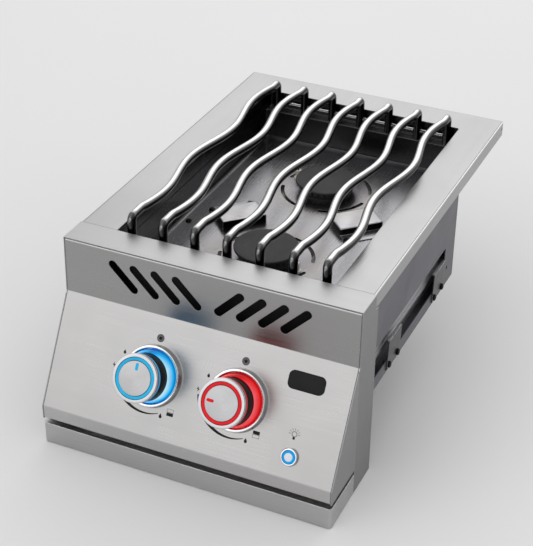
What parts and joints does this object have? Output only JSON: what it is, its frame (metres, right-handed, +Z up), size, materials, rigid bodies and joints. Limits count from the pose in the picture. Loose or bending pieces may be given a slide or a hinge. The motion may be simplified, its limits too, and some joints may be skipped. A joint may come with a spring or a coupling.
{
  "type": "built in side burner",
  "caption": "Drop-in stainless gas side burner for an outdoor kitchen, with burners in line in a deep tray under a wavy rod grate and a sloped front panel with lit knobs.",
  "frame": {"origin": "middle of the counter's top front edge: the flange rests on Z = 0 and the housing closes against the counter's front at Y = 0", "axes": "+X to the right seen from the front, +Y to the rear, +Z up"},
  "size_m": [0.3334, 0.5389, 0.2387],
  "materials": {
    "brushed_frame": "fine straight brushing",
    "brushed_fascia": "fine brushing across the panel",
    "tray_steel": "brushed, slightly tinted by heat",
    "body_steel": "mill finish sheet",
    "bracket_steel": "plain zinc sheet",
    "bolt_steel": "plated",
    "rod_steel": "polished rod",
    "cap_iron": "fine matt enamel",
    "head_metal": "cast, darkened by heat",
    "bowl_metal": "cast",
    "shutter_steel": "pressed sheet",
    "gas_brass": "turned",
    "rail_steel": "drawn tube",
    "knob_silver": "satin",
    "knob_black": "black",
    "glow_blue": "lit ring",
    "glow_red": "lit ring",
    "bezel_chrome": "polished",
    "button_white": "pale",
    "button_blue": "lit ring",
    "switch_black": "black",
    "hood_steel": "folded sheet",
    "ceramic_white": "glazed",
    "pin_steel": "wire",
    "badge_black": "blank"
  },
  "bodies": {
    "housing": {"top_frame": "brushed_frame", "burner_tray": "tray_steel", "front_frame": "brushed_frame", "control_fascia": "brushed_fascia", "side_cheeks": "brushed_frame", "lower_trim": "brushed_frame", "body_side_right": "body_steel", "body_side_left": "body_steel", "bottom_pan": "body_steel", "side_liners": "body_steel", "heat_shield": "body_steel", "side_brackets_right": "bracket_steel", "side_brackets_left": "bracket_steel", "bracket_bolts": "bolt_steel", "burner_head_front": "head_metal", "venturi_front": "bowl_metal", "burner_head_rear": "head_metal", "venturi_rear": "bowl_metal", "air_shutters": "shutter_steel", "orifices": "gas_brass", "manifold": "rail_steel", "manifold_brackets": "bracket_steel", "gas_inlet": "gas_brass", "feed_tube_left": "rail_steel", "feed_tube_right": "rail_steel", "valve_body_left": "gas_brass", "valve_body_right": "gas_brass", "bezel_light_left": "glow_blue", "bezel_light_right": "glow_red", "knob_bezels": "bezel_chrome", "button_bezel": "bezel_chrome", "button_switch": "switch_black", "ignition_hoods": "hood_steel", "electrodes": "ceramic_white", "electrode_pins": "pin_steel", "tray_screws": "bolt_steel", "ignition_module": "switch_black", "badge_plate": "badge_black"},
    "plug_left": {"valve_plug_left": "gas_brass"},
    "knob_left": {"valve_stem_left": "rail_steel", "knob_cap_left": "knob_silver", "knob_grip_left": "knob_black", "knob_lights_left": "glow_blue"},
    "plug_right": {"valve_plug_right": "gas_brass"},
    "knob_right": {"valve_stem_right": "rail_steel", "knob_cap_right": "knob_silver", "knob_grip_right": "knob_black", "knob_lights_right": "glow_red"},
    "light_button": {"button_cap": "button_white", "button_light": "button_blue"},
    "grate": {"grate_rod_1": "rod_steel", "grate_rod_2": "rod_steel", "grate_rod_3": "rod_steel", "grate_rod_4": "rod_steel", "grate_rod_5": "rod_steel", "grate_rod_6": "rod_steel", "grate_rod_7": "rod_steel", "grate_bars": "rod_steel"},
    "cap_front": {"burner_cap_front": "cap_iron"},
    "cap_rear": {"burner_cap_rear": "cap_iron"}
  },
  "joints": [
    {"name": "knob_left_turn", "type": "hinge", "parent": "housing", "child": "plug_left", "pos_m": [-0.048, -0.07363, -0.10146], "axis": [0, -0.8703, 0.4925], "range_deg": [0, 205]},
    {"name": "knob_left_push", "type": "slide", "parent": "plug_left", "child": "knob_left", "axis": [0, 0.8703, -0.4925], "range_m": [0, 0.004], "stiffness_N_per_m": 1500, "springref_m": -0.003},
    {"name": "knob_right_turn", "type": "hinge", "parent": "housing", "child": "plug_right", "pos_m": [0.048, -0.07363, -0.10146], "axis": [0, -0.8703, 0.4925], "range_deg": [-90, 115]},
    {"name": "knob_right_push", "type": "slide", "parent": "plug_right", "child": "knob_right", "axis": [0, 0.8703, -0.4925], "range_m": [0, 0.004], "stiffness_N_per_m": 1500, "springref_m": -0.003},
    {"name": "light_button_press", "type": "slide", "parent": "housing", "child": "light_button", "axis": [0, 0.8703, -0.4925], "range_m": [0, 0.0025], "stiffness_N_per_m": 800, "springref_m": -0.002},
    {"name": "grate_lift", "type": "slide", "parent": "housing", "child": "grate", "axis": [0, 0, 1], "range_m": [0, 0.1]},
    {"name": "cap_front_lift", "type": "slide", "parent": "housing", "child": "cap_front", "axis": [0, 0, 1], "range_m": [0, 0.04]},
    {"name": "cap_rear_lift", "type": "slide", "parent": "housing", "child": "cap_rear", "axis": [0, 0, 1], "range_m": [0, 0.04]}
  ]
}
